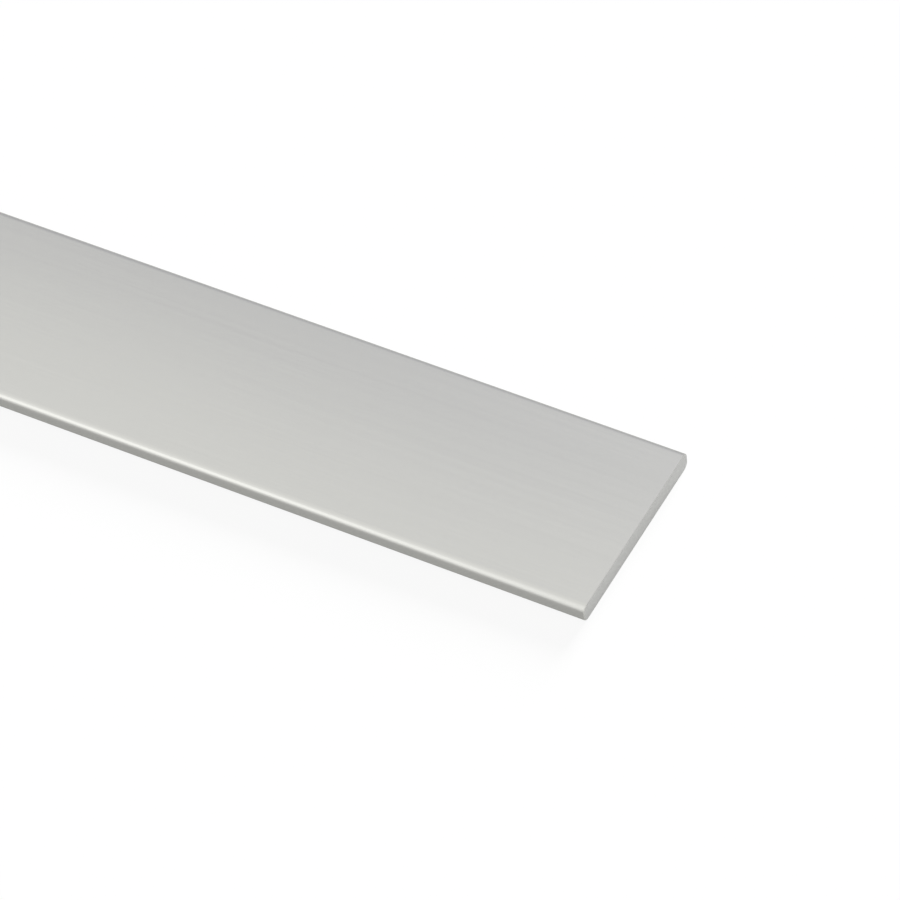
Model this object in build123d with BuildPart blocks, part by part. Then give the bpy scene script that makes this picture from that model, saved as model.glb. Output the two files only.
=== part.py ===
from build123d import *

import os

# Flat bar: one length of extruded aluminium strip, anodised, with rounded long edges and square sawn ends.
#
# The bar lies flat on a broad face. X runs along it, Y across it and Z up through its thickness, and the
# origin is in the middle of the face that it lies on. It is one solid, because one billet was pressed
# through one die and then sawn to length.

# Driving dimensions, in millimetres
bar_length = 1000.0  # sawn length
bar_width = 20.0  # across the two narrow edges
bar_thickness = 2.0  # between the two broad faces
edge_radius = 0.7  # rounding that the die leaves on each of the four long edges
end_break = 0.1  # bevel that deburring leaves all round each sawn end

os.makedirs("parts", exist_ok=True)

# The die's opening: a rectangle with round corners, standing on the face that the bar lies on
with BuildPart() as flat_bar:
    with BuildSketch(Plane.YZ) as die_opening:
        with Locations((0, bar_thickness / 2)):
            RectangleRounded(bar_width, bar_thickness, edge_radius)
    extrude(amount=bar_length / 2, both=True)

    # Both sawn ends have their sharp rim broken, straights and round corners alike
    rims = flat_bar.edges().group_by(Axis.X)
    chamfer(rims[0] + rims[-1], end_break)

flat_bar.part.label = "flat_bar"
export_step(flat_bar.part, "parts/flat_bar.step")
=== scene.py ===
# The looks of a flat bar of extruded aluminium: satin anodised skin, rounded long edges, sawn ends.
# Lengths are in metres where nothing else is said. X runs along the bar, Y across it and Z up.
import math

import bpy
import numpy as np
from mathutils import Matrix, Vector


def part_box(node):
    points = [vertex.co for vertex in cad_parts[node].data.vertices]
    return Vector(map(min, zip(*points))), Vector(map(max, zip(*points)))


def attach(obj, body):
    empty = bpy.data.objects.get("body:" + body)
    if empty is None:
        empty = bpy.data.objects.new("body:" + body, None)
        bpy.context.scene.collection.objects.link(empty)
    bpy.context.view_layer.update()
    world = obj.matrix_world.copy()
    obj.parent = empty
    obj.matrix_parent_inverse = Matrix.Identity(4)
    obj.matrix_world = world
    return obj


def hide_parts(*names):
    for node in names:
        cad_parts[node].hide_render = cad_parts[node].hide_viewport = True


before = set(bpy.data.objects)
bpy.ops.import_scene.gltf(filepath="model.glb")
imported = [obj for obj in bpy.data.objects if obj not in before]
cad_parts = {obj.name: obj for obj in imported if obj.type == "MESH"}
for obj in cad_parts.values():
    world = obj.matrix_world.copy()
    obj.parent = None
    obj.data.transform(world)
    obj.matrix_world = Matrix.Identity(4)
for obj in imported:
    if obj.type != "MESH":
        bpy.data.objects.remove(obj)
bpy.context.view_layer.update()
barLow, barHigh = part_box("flat_bar")
print("frame loaded, bar in mm:", [round(side * 1000, 2) for side in barHigh - barLow])


class Value:
    # A node's output that can stand in a formula: each operator adds one Math node and gives its output
    def __init__(self, shader, socket):
        self.shader = shader
        self.socket = socket

    def calculate(self, operation, first, second):
        return self.shader.add("ShaderNodeMath", {"operation": operation}, {0: first, 1: second})

    def __add__(self, other):
        return self.calculate("ADD", self, other)

    def __radd__(self, other):
        return self.calculate("ADD", other, self)

    def __sub__(self, other):
        return self.calculate("SUBTRACT", self, other)

    def __rsub__(self, other):
        return self.calculate("SUBTRACT", other, self)

    def __mul__(self, other):
        return self.calculate("MULTIPLY", self, other)

    def __rmul__(self, other):
        return self.calculate("MULTIPLY", other, self)


class Shader:
    # The node tree of a material or the world, emptied
    def __init__(self, owner):
        owner.use_nodes = True
        self.tree = owner.node_tree
        self.tree.nodes.clear()

    def add(self, kind, settings=None, sockets=None, output=0):
        # One node: its settings come first, then what its sockets hold or are linked to
        node = self.tree.nodes.new(kind)
        for name, setting in (settings or {}).items():
            setattr(node, name, setting)
        for name, held in (sockets or {}).items():
            if isinstance(held, Value):
                self.tree.links.new(held.socket, node.inputs[name])
            else:
                node.inputs[name].default_value = held
        return Value(self, node.outputs[output]) if node.outputs else None


# The bar's shape

bar = {
    "edgeRadius": 0.0007,  # rounding of the four long edges
    "rimRadius": 0.0001,  # rounding of the rim of each sawn end
    "edgeSteps": 16,  # facets in each long edge's quarter turn
    "rimSteps": 4,  # facets in each rim's quarter turn
    "faceSteps": 16,  # strips across a broad face, an even number
    "sideSteps": 3,  # strips down a narrow edge, an odd number
    "lengthSteps": 80,  # lengths between the two rims
}


def walkSection(width, height, radius):
    # The section is a rectangle with round corners, walked anticlockwise. Each step has a centre and an
    # outward normal: the normal turns while the centre waits at a corner, then the centre slides to the
    # next corner while the normal waits. The outline lies one radius from the centre along the normal.
    # The walk starts at the middle of the bottom, and its last distance is the whole way round.
    reach = np.array([width / 2 - radius, height / 2 - radius])
    corners = reach * [[1, 1], [-1, 1], [-1, -1], [1, -1]]
    turn = np.linspace(0, math.pi / 2, bar["edgeSteps"] + 1)
    centres, angles = [], []
    for number, (here, there) in enumerate(zip(corners, np.roll(corners, -1, axis=0))):
        quarter = turn + number * math.pi / 2
        strips = bar["sideSteps"] if number % 2 else bar["faceSteps"]
        slide = np.linspace(0, 1, strips + 1)[1:-1, None]
        centres += [np.repeat(here[None], len(quarter), axis=0), here + slide * (there - here)]
        angles += [quarter, np.full(len(slide), quarter[-1])]
    centres, angles = np.vstack(centres), np.concatenate(angles)
    normals = np.column_stack([np.cos(angles), np.sin(angles)])
    outline = centres + radius * normals
    start = np.argmin(np.abs(outline[:, 0]) + np.abs(outline[:, 1] + height / 2))
    centres, normals, outline = (np.roll(steps, -start, axis=0) for steps in (centres, normals, outline))
    strides = np.linalg.norm(np.roll(outline, -1, axis=0) - outline, axis=1)
    return centres, normals, np.concatenate([[0], np.cumsum(strides)])


def makeBar():
    # One closed skin of rings. A ring is the section, pulled in by an inset, at a place along the bar.
    # Between the rims the inset is nothing. Over a rim the inset is the rim's radius times one less the
    # cosine of a turn, and the ring lies further out by the radius times the sine. A sawn end is a ladder
    # of flat faces with four sides, between the lower and the upper half of the last ring.
    size = barHigh - barLow
    middle = (barHigh + barLow) / 2
    centres, normals, walked = walkSection(size.y, size.z, bar["edgeRadius"])
    turn = np.linspace(0, math.pi / 2, bar["rimSteps"] + 1)
    straight = size.x / 2 - bar["rimRadius"]
    lengths = np.linspace(-straight, straight, bar["lengthSteps"] + 1)[1:-1]
    tilt = np.concatenate([-turn[::-1], np.zeros(len(lengths)), turn])
    place = np.concatenate([np.full(len(turn), -straight), lengths, np.full(len(turn), straight)])
    place += bar["rimRadius"] * np.sin(tilt)
    inset = bar["rimRadius"] * (1 - np.cos(tilt))
    rings, girth = len(place), len(centres)

    section = centres + (bar["edgeRadius"] - inset)[:, None, None] * normals
    points = np.dstack([np.repeat(place[:, None], girth, axis=1), section]) + middle
    outward = np.dstack([np.repeat(np.sin(tilt)[:, None], girth, axis=1),
                         np.cos(tilt)[:, None, None] * normals])

    index = np.arange(rings * girth).reshape(rings, girth)
    ahead = np.roll(index, -1, axis=1)
    skin = np.stack([index[:-1], ahead[:-1], ahead[1:], index[1:]], axis=-1).reshape(-1, 4)
    half = girth // 2
    lower = np.arange(-(half // 2), half // 2)
    ladder = np.stack([lower, lower + 1, half - lower - 1, half - lower], axis=-1) % girth
    faces = np.vstack([skin, index[-1][ladder], index[0][ladder[:, ::-1]]])

    mesh = bpy.data.meshes.new("extruded_flat_bar")
    mesh.from_pydata(points.reshape(-1, 3), [], faces)
    mesh.polygons.foreach_set("use_smooth", np.ones(len(faces), bool))
    mesh.normals_split_custom_set_from_vertices(outward.reshape(-1, 3))

    # The skin's own map: along the bar, and round the section from the middle of the bottom, in metres
    along = np.stack([place[:-1], place[:-1], place[1:], place[1:]], axis=-1)
    around = np.stack([walked[:-1], walked[1:], walked[1:], walked[:-1]], axis=-1)
    skinMap = np.stack(np.broadcast_arrays(along[:, None], around[None]), axis=-1)
    endMap = points.reshape(-1, 3)[faces[len(skin):], 1:]
    uv = np.concatenate([skinMap.reshape(-1), endMap.reshape(-1)])
    mesh.uv_layers.new(name="skin").data.foreach_set("uv", uv.astype(np.float32))

    # The skin has the mesh's first material, and the sawn ends have its second
    sawn = np.zeros(len(faces), np.int32)
    sawn[len(skin):] = 1
    mesh.polygons.foreach_set("material_index", sawn)
    mesh.validate()
    mesh.update()
    piece = bpy.data.objects.new("extruded_flat_bar", mesh)
    bpy.context.scene.collection.objects.link(piece)
    return piece


flatBar = makeBar()
print("bar made,", len(flatBar.data.polygons), "faces")

# Finishes

noiseMiddle = 0.5  # a noise runs from 0 to 1 and lies evenly about this


def addNoise(shader, dimensions, place, size=1.0, detail=2.0):
    # A smooth noise with patches about one size wide. Each step of detail adds patches half as wide.
    socket = "W" if dimensions == "1D" else "Vector"
    return shader.add("ShaderNodeTexNoise", {"noise_dimensions": dimensions}, {
        socket: place, "Scale": 1 / size, "Detail": detail})


def addBump(shader, height):
    # The surface's normal, turned by the slope of a height in metres
    return shader.add("ShaderNodeBump", {}, {"Strength": 1.0, "Distance": 1.0, "Height": height})


def mixColour(shader, tone, first, second):
    # The first colour where the tone is 0 and the second where it is 1. A Mix node has sockets for each
    # kind of value: those for two colours are inputs 6 and 7, and their mix comes out of output 2.
    return shader.add("ShaderNodeMix", {"data_type": "RGBA"}, {
        0: tone, 6: (*first, 1), 7: (*second, 1)}, output=2)


def shadeColour(shader, colour, spread, tone):
    # The colour times one less the spread where the tone is 0, and one plus the spread where it is 1
    darkest, palest = ([share * part for part in colour] for share in (1 - spread, 1 + spread))
    return mixColour(shader, tone, darkest, palest)


skinFinish = {
    "colour": (0.651, 0.650, 0.619),
    "roughness": 0.24,
    "grazingTint": 0.8,  # the oxide layer takes light away at a glancing angle
    "streakWidth": 0.0008,  # broad, faint bands that the die leaves along the bar
    "streakLength": 0.4,
    "streakDepth": 0.000002,
    "streakInRoughness": 0.08,
    "streakInColour": 0.04,  # share by which the palest and darkest streaks differ from the colour
    "lineWidth": 0.00005,  # the fine die lines between them
    "lineLength": 0.03,
    "lineDepth": 0.000003,
    "grainSize": 0.00006,  # the etched grain under the anodising
    "grainDepth": 0.0000015,
}


def makeSkin():
    # Streaks and lines are noises drawn out along the bar. The height is streaks, lines and grain, each
    # times its depth. The roughness follows the streaks, and the colour the mean of streaks and lines.
    material = bpy.data.materials.new("satin_anodised_aluminium")
    shader = Shader(material)
    place = shader.add("ShaderNodeUVMap", {"uv_map": "skin"})
    streaks, lines = (
        addNoise(shader, "2D", shader.add("ShaderNodeMapping", {}, {
            "Vector": place, "Scale": (1 / length, 1 / width, 1)}))
        for length, width in ((skinFinish["streakLength"], skinFinish["streakWidth"]),
                              (skinFinish["lineLength"], skinFinish["lineWidth"])))
    grain = addNoise(
        shader, "3D", shader.add("ShaderNodeTexCoord", output="Object"), skinFinish["grainSize"])
    height = (skinFinish["streakDepth"] * streaks + skinFinish["lineDepth"] * lines
              + skinFinish["grainDepth"] * grain)
    roughness = skinFinish["roughness"] + skinFinish["streakInRoughness"] * (streaks - noiseMiddle)
    mean = 0.5 * (streaks + lines)
    grazing = skinFinish["grazingTint"]
    surface = shader.add("ShaderNodeBsdfPrincipled", {}, {
        "Base Color": shadeColour(shader, skinFinish["colour"], skinFinish["streakInColour"], mean),
        "Metallic": 1.0, "Roughness": roughness, "Normal": addBump(shader, height),
        "Specular Tint": (grazing, grazing, grazing, 1)})
    shader.add("ShaderNodeOutputMaterial", {}, {"Surface": surface})
    return material


sawnFinish = {
    "colour": (0.630, 0.632, 0.614),
    "roughness": 0.40,
    "sawCentre": (0.0, -0.045, 0.14),  # of the arcs that the blade leaves
    "markWidth": 0.0002,  # between arcs
    "markDetail": 3.0,
    "markDepth": 0.00003,
    "markInColour": 0.08,  # share by which the palest and darkest arcs differ from the colour
    "grainSize": 0.00007,
    "grainDepth": 0.000005,
}


def makeSawnFace():
    # The arcs are a noise over the distance from the blade's centre, measured in the end's own plane. The
    # height is arcs and grain, each times its depth, and the colour follows the arcs.
    material = bpy.data.materials.new("sawn_aluminium")
    shader = Shader(material)
    place = shader.add("ShaderNodeTexCoord", output="Object")
    flat = shader.add("ShaderNodeMapping", {}, {"Vector": place, "Scale": (0, 1, 1)})
    reach = shader.add("ShaderNodeVectorMath", {"operation": "DISTANCE"}, {
        0: flat, 1: sawnFinish["sawCentre"]}, output="Value")
    arcs = addNoise(shader, "1D", reach, sawnFinish["markWidth"], sawnFinish["markDetail"])
    grain = addNoise(shader, "3D", place, sawnFinish["grainSize"])
    height = sawnFinish["markDepth"] * arcs + sawnFinish["grainDepth"] * grain
    surface = shader.add("ShaderNodeBsdfPrincipled", {}, {
        "Base Color": shadeColour(shader, sawnFinish["colour"], sawnFinish["markInColour"], arcs),
        "Metallic": 1.0, "Roughness": sawnFinish["roughness"], "Normal": addBump(shader, height)})
    shader.add("ShaderNodeOutputMaterial", {}, {"Surface": surface})
    return material


for finish in (makeSkin(), makeSawnFace()):
    flatBar.data.materials.append(finish)
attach(flatBar, "root")
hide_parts("flat_bar")
print("finishes made")

# The camera looks down on the near end, from the front and the right

view = {
    "azimuth": 34.01,  # degrees round from the front, towards the near end
    "elevation": 49.36,
    "roll": -7.40,
    "lens": 244.4,  # in millimetres, as the film's width is
    "filmWidth": 36.0,
    "distance": 0.5376,  # to the near end's front bottom corner, along the line of sight
    "cornerPixel": (584.95, 623.75),  # where that corner falls, were it sharp
    "pictureSide": 900,
    "reach": (0.01, 100.0),  # the nearest and the furthest that it sees
}


def makeCamera():
    # The camera stands back from the corner by the distance, then to the left of it and above it by as
    # much as the corner's pixel lies right of the picture's middle and below it, in metres
    azimuth, elevation, roll = (math.radians(view[name]) for name in ("azimuth", "elevation", "roll"))
    back = Vector((math.sin(azimuth) * math.cos(elevation),
                   -math.cos(azimuth) * math.cos(elevation), math.sin(elevation)))
    level = Vector((math.cos(azimuth), math.sin(azimuth), 0))
    right = level * math.cos(roll) + back.cross(level) * math.sin(roll)
    up = back.cross(right)
    corner = Vector((barHigh.x, barLow.y, barLow.z))
    metresPerPixel = view["distance"] * view["filmWidth"] / view["lens"] / view["pictureSide"]
    aside, above = ((pixel - view["pictureSide"] / 2) * metresPerPixel for pixel in view["cornerPixel"])
    place = corner - aside * right + above * up + view["distance"] * back
    data = bpy.data.cameras.new("camera")
    data.lens, data.sensor_width = view["lens"], view["filmWidth"]
    data.clip_start, data.clip_end = view["reach"]
    camera = bpy.data.objects.new("camera", data)
    camera.matrix_world = Matrix((right, up, back)).transposed().to_4x4()
    camera.location = place
    bpy.context.scene.collection.objects.link(camera)
    bpy.context.scene.camera = camera


makeCamera()
print("camera made")

# The studio: a white floor and world, and a lamp from behind that lights the floor. The rest shows only in
# the metal: a short soft panel in front, towards the near end, a long one overhead, and a grey card close
# behind, which is darker at its foot and whose top grows paler towards the near end.


def addPlane(name, corners):
    # One flat face on its corners, which isn't part of the object, with a material of the same name
    mesh = bpy.data.meshes.new(name)
    mesh.from_pydata(corners, [], [range(len(corners))])
    mesh.materials.append(bpy.data.materials.new(name))
    plane = bpy.data.objects.new(name, mesh)
    bpy.context.scene.collection.objects.link(plane)
    return plane


whiteFloor = {
    "side": 60.0,
    "colour": 0.97,
    "colourInMetal": 0.65,  # the colour that the metal reflects
    "glowToCamera": 0.90,  # share that glows plain white, and so takes no shadow, to the camera
    "glowInMetal": 0.36,  # the same share, to the metal
}


def makeFloor():
    # The square that the bar lies on is partly matt and partly a white glow, in shares that go by the
    # kind of ray that meets it
    half = whiteFloor["side"] / 2
    floor = addPlane("white_floor", [
        (-half, -half, 0), (half, -half, 0), (half, half, 0), (-half, half, 0)])
    shader = Shader(floor.data.materials[0])
    camera, glossy, transmission = (
        shader.add("ShaderNodeLightPath", output=name)
        for name in ("Is Camera Ray", "Is Glossy Ray", "Is Transmission Ray"))
    tone = whiteFloor["colour"] - (whiteFloor["colour"] - whiteFloor["colourInMetal"]) * glossy
    matt = shader.add("ShaderNodeBsdfDiffuse", {}, {"Color": tone})
    white = shader.add("ShaderNodeEmission", {}, {"Strength": 1.0})
    share = whiteFloor["glowToCamera"] * camera + whiteFloor["glowInMetal"] * (glossy + transmission)
    surface = shader.add("ShaderNodeMixShader", {}, {0: share, 1: matt, 2: white})
    shader.add("ShaderNodeOutputMaterial", {}, {"Surface": surface})


greyCard = {
    "behind": 0.066,  # how far behind the bar's middle line
    # Its top edge, as places along the bar and heights
    "top": ((-1.5, 0.0864), (0.400, 0.0864), (0.447, 0.0985), (0.480, 0.0910), (0.60, 0.125)),
    "glow": (0.68, 0.68, 0.72),
    "palerGlow": (0.865, 0.865, 0.905),
    "paling": (0.405, 0.480),  # from where to where, along the bar, its top grows paler
    "shade": (0.0, 0.06),  # from which height to which it grows lighter
    "footShare": 0.87,  # of the glow
}


def makeCard():
    # The glow turns into the paler one by how far along a place is, times how high it is. Then it is
    # multiplied by a share that grows from the foot's to one, by how high the place is.
    top, behind = greyCard["top"], greyCard["behind"]
    foot = [(along, behind, 0) for along in (top[0][0], top[-1][0])]
    card = addPlane("grey_card", foot + [(along, behind, height) for along, height in top[::-1]])
    shader = Shader(card.data.materials[0])
    place = shader.add("ShaderNodeTexCoord", output="Object")
    along, up = (
        shader.add("ShaderNodeMapRange", {}, {
            "Value": shader.add("ShaderNodeSeparateXYZ", {}, {"Vector": place}, output=axis),
            "From Min": start, "From Max": end})
        for axis, (start, end) in (("X", greyCard["paling"]), ("Z", greyCard["shade"])))
    glow = mixColour(shader, along * up, greyCard["glow"], greyCard["palerGlow"])
    share = greyCard["footShare"] + (1 - greyCard["footShare"]) * up
    shaded = shader.add("ShaderNodeVectorMath", {"operation": "SCALE"}, {"Vector": glow, "Scale": share})
    grey = shader.add("ShaderNodeEmission", {}, {"Color": shaded, "Strength": 1.0})
    shader.add("ShaderNodeOutputMaterial", {}, {"Surface": grey})
    card.visible_camera = card.visible_diffuse = card.visible_shadow = card.visible_transmission = False


panels = {
    "frontPanel": {
        "centre": (0.284, -0.312, 0.192),
        "aim": (0.284, -0.01, 0.0),
        "size": (0.141, 0.25),
        "glow": 0.42,
    },
    "overheadPanel": {
        "centre": (0.0, -0.26, 0.45),
        "aim": (0.0, -0.26, 0.0),
        "size": (2.4, 0.32),
        "glow": 0.09,
    },
}
wattsForGlow = 4  # that an area lamp needs for each square metre, to glow at a strength of 1


def makePanel(name, panel):
    # A rectangle that faces its aim. Its energy is its glow times its area times the watts for a glow of 1.
    data = bpy.data.lights.new(name, "AREA")
    data.shape = "RECTANGLE"
    data.size, data.size_y = panel["size"]
    data.energy = panel["glow"] * wattsForGlow * data.size * data.size_y
    lamp = bpy.data.objects.new(name, data)
    centre, aim = Vector(panel["centre"]), Vector(panel["aim"])
    lamp.rotation_euler = (aim - centre).to_track_quat("-Z", "Y").to_euler()
    lamp.location = centre
    lamp.visible_camera = lamp.visible_diffuse = False
    bpy.context.scene.collection.objects.link(lamp)


backLight = {
    "brightness": 0.62,  # of a white floor that it alone lights
    "from": (-0.03, 0.93, 0.32),
    "softness": 20,  # degrees
}


def makeBackLight():
    # A white floor is as bright as the lamp's energy, times the sine of its height, over pi
    data = bpy.data.lights.new("back_light", "SUN")
    toLight = Vector(backLight["from"]).normalized()
    data.energy = backLight["brightness"] * math.pi / toLight.z
    data.angle = math.radians(backLight["softness"])
    lamp = bpy.data.objects.new("back_light", data)
    lamp.rotation_euler = (-toLight).to_track_quat("-Z", "Y").to_euler()
    lamp.visible_camera = lamp.visible_glossy = False
    bpy.context.scene.collection.objects.link(lamp)


whiteWorld = {
    "glow": 1.0,  # what the camera and the metal see
    "light": 0.45,  # what lights the floor
}


def makeWorld():
    # The strength is the glow, and it falls to the light for the rays that leave a matt surface
    world = bpy.data.worlds.new("white_studio")
    bpy.context.scene.world = world
    shader = Shader(world)
    diffuse = shader.add("ShaderNodeLightPath", output="Is Diffuse Ray")
    strength = whiteWorld["glow"] - (whiteWorld["glow"] - whiteWorld["light"]) * diffuse
    sky = shader.add("ShaderNodeBackground", {}, {"Color": (1, 1, 1, 1), "Strength": strength})
    shader.add("ShaderNodeOutputWorld", {}, {"Surface": sky})


makeFloor()
makeCard()
for panelName, panelSettings in panels.items():
    makePanel(panelName, panelSettings)
makeBackLight()
makeWorld()
bpy.context.scene.view_settings.view_transform = "Standard"
print("studio made")
